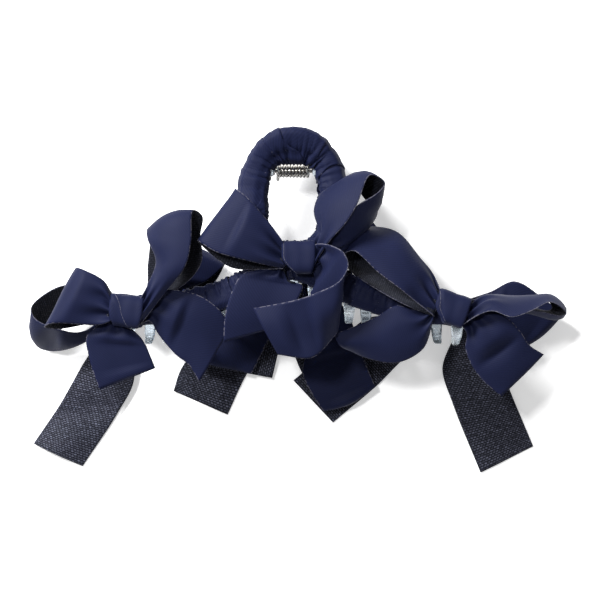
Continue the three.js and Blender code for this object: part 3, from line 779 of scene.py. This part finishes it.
# %% Make the knots
KNOT_POINTS = 72
TURNED_UNDER = [(-3.0, 1.7), (-4.6, 1.75), (-5.7, 1.4), (-6.2, 0.8), (-6.1, 0.25), (-5.4, 0.02)]
MIDDLE_ROWS = [(x / 2, 0) for x in range(-9, 10)]
KNOT_ROWS = TURNED_UNDER + MIDDLE_ROWS + [(-x, inset) for x, inset in TURNED_UNDER[::-1]]
KNOT_HALF_WIDTH, KNOT_HALF_HEIGHT = 6.0 * MM, 3.9 * MM
KNOTS = {  # where the crossing edge starts and ends on top, in mm, how far the lower end narrows, and its tip
    "front_left": ((-5.2, 3.5), (1.2, -6.0), 0.25, 0.5),
    "front_centre": ((-6.0, 7.0), (-5.5, -6.0), 0.55, 2.0),
    "front_right": ((-5.6, 6.0), (-1.0, -6.2), 0.45, 2.2),
    "back_left": ((4.6, 4.0), (-1.5, -6.0), 0.3, 0.0),
    "back_centre": ((-4.5, 5.0), (2.5, -6.0), 0.1, 0.0),
    "back_right": ((5.0, 4.0), (1.0, -6.0), 0.3, 0.0),
}
STEP_UP = 0.4 * MM


def squared(value, power):
    return math.copysign(abs(value) ** power, value) if abs(value) > 1e-9 else 0.0


WOVEN_EDGES = {"front_left": (6, 17), "front_centre": (5, 5), "front_right": (4, 8)}  # rows it runs between


def knot_band(name, bow_name, body):
    start, end, narrowing, tip = KNOTS[bow_name]
    start, end = Vector(start) * MM, Vector(end) * MM
    aside = Vector((-(end - start).y, (end - start).x)).normalized()
    upside = 1 if body == "front" else -1

    def place(row, round_at):
        x, inset = KNOT_ROWS[row]
        y = squared(math.cos(round_at), 0.75) * (KNOT_HALF_WIDTH - inset * MM)
        z = squared(math.sin(round_at), 0.7) * (KNOT_HALF_HEIGHT - inset * MM)
        x *= MM
        drop = max(0.0, -y / KNOT_HALF_WIDTH) ** 1.5
        x = x * (1 - narrowing * drop) + tip * MM * drop
        off_line = (Vector((x, y)) - start).dot(aside)
        step = STEP_UP / (1 + math.exp(-off_line / (0.12 * MM))) if z * upside > 0 else STEP_UP
        fold = noise.noise(Vector((x * 260, y * 90, seed))) * 0.35 * MM
        out = Vector((0, math.cos(round_at), math.sin(round_at)))
        return Vector((x, y, z)) + out * (step + fold - STEP_UP)

    band = bmesh.new()
    loop = bmesh.ops.create_circle(band, segments=KNOT_POINTS, radius=1)["verts"]
    rings = [loop]
    for _ in KNOT_ROWS[1:]:
        ring_edges = {edge for vert in rings[-1] for edge in vert.link_edges
                      if edge.other_vert(vert) in rings[-1]}
        made = bmesh.ops.extrude_edge_only(band, edges=list(ring_edges))["geom"]
        rings.append([item for item in made if isinstance(item, bmesh.types.BMVert)])
    turns = {}
    for vert in band.verts:
        turns[vert] = math.atan2(vert.co.y, vert.co.x)
    for row, ring in enumerate(rings):
        for vert in ring:
            vert.co = place(row, turns[vert])
    cloth = band.loops.layers.uv.new("cloth")
    rows_of = {vert: row for row, ring in enumerate(rings) for vert in ring}
    for face in band.faces:
        turned = [turns[loop.vert] for loop in face.loops]
        wraps = max(turned) - min(turned) > math.pi
        for loop, angle in zip(face.loops, turned):
            angle += 2 * math.pi if wraps and angle < 0 else 0
            loop[cloth].uv = (rows_of[loop.vert] / (len(rings) - 1) * RIBBON_WIDTH, angle * 5.6 * MM)
    bmesh.ops.recalc_face_normals(band, faces=band.faces)
    if sum(face.normal.dot(face.calc_center_median().yz.to_3d().zxy) for face in band.faces) < 0:
        bmesh.ops.reverse_faces(band, faces=band.faces)
    spin = Matrix.Rotation(math.radians(BOWS[bow_name]["turn"]), 4, "Z")
    to_place = Matrix.Translation(middle_of(bow_name + "_knot")) @ spin
    band.transform(to_place)
    made = object_from(band, name, FACE, SHADED_BACK, THREAD)
    thicken(made)
    woven_edge = []
    first, final = WOVEN_EDGES.get(bow_name, (5, 5))
    for k in range(33):
        row, turned = first + (final - first) * k / 32, math.radians(25 + 130 * k / 32) * upside
        spot = place(int(row), turned).lerp(place(int(row) + 1, turned), row % 1)
        woven_edge.append(to_place @ spot)
    return made, woven_edge


for bow_name in BOWS:
    body = bow_name.split("_")[0]
    seed += 1
    knot, woven_edge = knot_band(bow_name + "_band", bow_name, body)
    edge = threads(bow_name + "_band_edge", [woven_edge], 0.24 * MM, 1, 0.5)
    edge.data.materials.append(THREAD)
    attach(edge, body)
    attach(knot, body)
    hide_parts(bow_name + "_knot")
    print("knot", knot.name)

# %% [markdown]
# ## Ribbon wound round the ring and the arms
#
# The thumb ring and the arms are bound with the same ribbon, each turn lying over the one before. The
# winding is one long strip: its corners are walked round the core in a spiral and dropped on the measured
# wrap's surface, lifted a little where the new turn covers the old one, and grooved most on the hole's side,
# where the ribbon has less room.

# %% Core lines of the ring and the arms
PIN = middle_of("hinge_pin")
RING_CORE = {"half_width": 14.35, "half_height": 20.1, "below_pin": 11.45, "corner": 0.8}
RING_RISE = {"at_pin": 8.6, "at_base": 17.0, "reach": 32.0, "flare": 5.5, "flare_reach": 15.0}
ARM_CORE = [(0, 35, 17), (10, 38.5, 17), (22, 44.5, 16.5), (36, 49, 15.5), (48, 51, 14.5), (63.4, 52, 13.4)]


def ring_core(u, side):
    angle = 2 * math.pi * u - math.pi / 2
    across = RING_CORE["half_width"] * squared(math.cos(angle), RING_CORE["corner"])
    below = RING_CORE["below_pin"] - RING_CORE["half_height"] * squared(math.sin(angle), RING_CORE["corner"])
    if below < 0:
        rise = RING_RISE["at_pin"] + RING_RISE["flare"] * (below / RING_RISE["flare_reach"]) ** 2
    else:
        share = min(below / RING_RISE["reach"], 1)
        climb = share * share * (3 - 2 * share)
        rise = RING_RISE["at_pin"] + (RING_RISE["at_base"] - RING_RISE["at_pin"]) * climb
    return PIN + Vector((across, -below, side * rise)) * MM


def arm_core(hand):
    points = [Vector(point) for point in ARM_CORE]

    def place(u, side):
        x, below, rise = line_point(points, u)
        return PIN + Vector((hand * x, -below, side * rise)) * MM
    return place


# %% Wind the ribbon
WIND_ACROSS = 36
UNEVEN_WIND = 0.5
RING_PADDING = 1.4 * MM  # the ribbon lies thicker on the outside of the ring
WIND_AROUND = 40
LAYER = 0.32 * MM
RAY_START = 9.5 * MM
TURN_LENGTH = 32 * MM
BEDDED = 0.6 * MM  # how far below the measured surface the lowest layer lies
CREASE_HEIGHT, GROOVE_DEPTH = 1.0 * MM, 1.1 * MM


def wound(name, cad_node, core, side, turns, span, lean, seed):
    """Winds a strip round the core line from u = span[0] to span[1] in so many turns."""
    shell = bmesh.new()
    shell.from_mesh(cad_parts[cad_node].data)
    surface = BVHTree.FromBMesh(shell)
    shell.free()
    length_of_core = sum((core(span[0] + (span[1] - span[0]) * (k + 1) / 60, side)
                          - core(span[0] + (span[1] - span[0]) * k / 60, side)).length for k in range(60))
    advance = length_of_core / turns
    layers = RIBBON_WIDTH / advance
    strip = bmesh.new()
    rows = round(turns * WIND_AROUND)
    bmesh.ops.create_grid(strip, x_segments=WIND_ACROSS, y_segments=rows, size=1)
    cloth = strip.loops.layers.uv.new("cloth")
    spots, middles = {}, {}
    for vert in strip.verts:
        s, t = (vert.co.x + 1) / 2, (vert.co.y + 1) / 2
        turn = t * turns
        around = 2 * math.pi * turn * side
        wander = UNEVEN_WIND * noise.noise(Vector((turn * 1.3, seed, 0)))
        progress = (turn + s * layers - layers / 2 + lean * math.sin(around) + wander) / turns
        progress = min(max(progress, 0.0), 1.0)
        u = span[0] + (span[1] - span[0]) * progress
        here = core(u, side)
        ahead = (core(u + 0.002, side) - core(u - 0.002, side)).normalized()
        flat = Vector((-ahead.y, ahead.x, 0)).normalized()
        up = ahead.cross(flat)
        out = flat * math.cos(around) + up * math.sin(around)
        hit = surface.ray_cast(here + out * RAY_START, -out, RAY_START)[0]
        radius = (hit - here).length if hit else 5.2 * MM
        inner = 0.5 + 0.5 * out.dot(Vector((PIN.x, PIN.y - 12 * MM, here.z)) - here) / 15 / MM
        inner = min(max(inner, 0.0), 1.0)
        crease = (0.3 + 0.7 * inner) * noise.noise(Vector((u * 5.5 * turns, turn * 0.9, seed)))
        fold = noise.noise(Vector((u * 3.4 * turns, turn * 0.55, seed + 7)))
        groove = max(0.0, 1 - abs(fold) * 7) * (0.15 + 0.85 * inner)
        lift = (1 - s) * layers * LAYER + crease * CREASE_HEIGHT - groove * GROOVE_DEPTH
        padding = RING_PADDING * (1 - inner) if core is ring_core else 0.0
        vert.co = here + out * (radius - BEDDED + lift + padding)
        middles[vert] = here
        spots[vert] = (s * RIBBON_WIDTH, turn * TURN_LENGTH)
    for face in strip.faces:
        for loop in face.loops:
            loop[cloth].uv = spots[loop.vert]
    strip.normal_update()
    if sum(face.normal.dot(face.calc_center_median() - middles[face.verts[0]]) for face in strip.faces) < 0:
        bmesh.ops.reverse_faces(strip, faces=strip.faces)
    made = object_from(strip, name, WOUND_FACE, SHADED_BACK, WOUND_FACE)
    thicken(made)
    return made, turns * TURN_LENGTH


# %% Make the six windings
WINDINGS = {  # turns, the part of the core line that is covered, and how far each turn leans
    "ring": (11, (0.0, 1.0), 0.3),
    "left_arm": (8, (0.0, 1.0), 0.25),
    "right_arm": (8, (0.0, 1.0), 0.25),
}
for body, side in (("front", 1), ("back", -1)):
    for part, (turns, span, lean) in WINDINGS.items():
        seed += 1
        core = ring_core if part == "ring" else arm_core(-1 if part == "left_arm" else 1)
        cad_node = f"{body}_{part}_wrap"
        winding, length = wound(f"{body}_{part}_winding", cad_node, core, side, turns, span, lean, seed)
        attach(winding, body)
        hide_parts(cad_node)
        print(winding.name, "turns", turns)

# %% [markdown]
# ## The clear jaws
#
# The jaws are moulded in one piece each, with soft edges. A voxel remesh of the measured jaw welds its faces
# into one skin, and smoothing rounds the edges as a mould does.

# %% Soften the jaws
for body in ("front", "back"):
    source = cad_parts[body + "_jaw"]
    shell = bmesh.new()
    shell.from_mesh(source.data)
    bmesh.ops.remove_doubles(shell, verts=shell.verts, dist=0.001 * MM)
    jaw = object_from(shell, body + "_claw", PLASTIC)
    moulded = jaw.modifiers.new("moulded", "REMESH")
    moulded.mode = "VOXEL"
    moulded.voxel_size = 0.5 * MM
    moulded.use_smooth_shade = True
    eased = jaw.modifiers.new("eased", "SMOOTH")
    eased.factor = 0.5
    eased.iterations = 10
    mesh = bpy.data.meshes.new_from_object(jaw.evaluated_get(bpy.context.evaluated_depsgraph_get()))
    jaw.modifiers.clear()
    jaw.data = mesh
    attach(jaw, body)
    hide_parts(body + "_jaw")
    print(jaw.name, len(mesh.polygons), "faces")

# %% [markdown]
# ## Spring and pin
#
# The spring is a wire wound nine times round the pin, with a straight leg at each end that presses on a
# thumb ring. It is a round-section curve turned into a mesh.

# %% Coil
COIL = {"turns": 9, "wire": 1.25 * MM, "radius": 2.0 * MM, "pitch": 1.27 * MM, "leg": 6.5 * MM}
COIL_START = -math.pi / 4


def coil_line(steps_each_turn):
    """Points along the wire: a leg, the turns, and the other leg."""
    points = []
    radius, half = COIL["radius"], COIL["turns"] * COIL["pitch"] / 2
    total = COIL["turns"] * steps_each_turn
    for k in range(total + 1):
        turned = 2 * math.pi * k / steps_each_turn
        at = COIL_START + turned
        points.append(PIN + Vector((-half + COIL["pitch"] * k / steps_each_turn,
                                    radius * math.cos(at), radius * math.sin(at))))
    along = Vector((0, -math.sin(COIL_START), math.cos(COIL_START)))
    first, last = points[0] - along * COIL["leg"], points[-1] + along * COIL["leg"]
    return ([first.lerp(points[0], k / 8) for k in range(8)] + points
            + [points[-1].lerp(last, (k + 1) / 8) for k in range(8)])


coil_points = coil_line(28)
coil = threads("coil", [coil_points], COIL["wire"], 5, 0)
coil.data.polygons.foreach_set("use_smooth", [True] * len(coil.data.polygons))
coil.data.materials.append(STEEL)
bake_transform(coil)
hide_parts("torsion_spring")
print("coil", len(coil.data.polygons), "faces")

# %% Pin with a head at each end
PIN_RADIUS, HEAD_RADIUS, HEAD_LENGTH = 0.8 * MM, 1.3 * MM, 0.8 * MM
low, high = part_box("hinge_pin")
pin = bmesh.new()
bmesh.ops.create_cone(pin, cap_ends=True, segments=48, radius1=PIN_RADIUS, radius2=PIN_RADIUS,
                      depth=high.x - low.x - 1.4 * MM)
for end in (-1, 1):
    head = bmesh.ops.create_cone(pin, cap_ends=True, segments=48, radius1=HEAD_RADIUS, radius2=HEAD_RADIUS,
                                 depth=HEAD_LENGTH)["verts"]
    bmesh.ops.translate(pin, vec=(0, 0, end * (high.x - low.x - HEAD_LENGTH) / 2), verts=head)
bmesh.ops.bevel(pin, geom=[e for e in pin.edges if e.calc_face_angle(0) > 1], offset=0.2 * MM,
                affect="EDGES", segments=3, profile=0.5, material=-1)
bmesh.ops.rotate(pin, cent=(0, 0, 0), matrix=Matrix.Rotation(math.pi / 2, 3, "Y"), verts=pin.verts)
bmesh.ops.translate(pin, vec=PIN, verts=pin.verts)
pin_piece = object_from(pin, "pin", STEEL)
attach(pin_piece, "back")
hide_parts("hinge_pin")
print("pin", round((high.x - low.x) / MM, 1), "mm long")
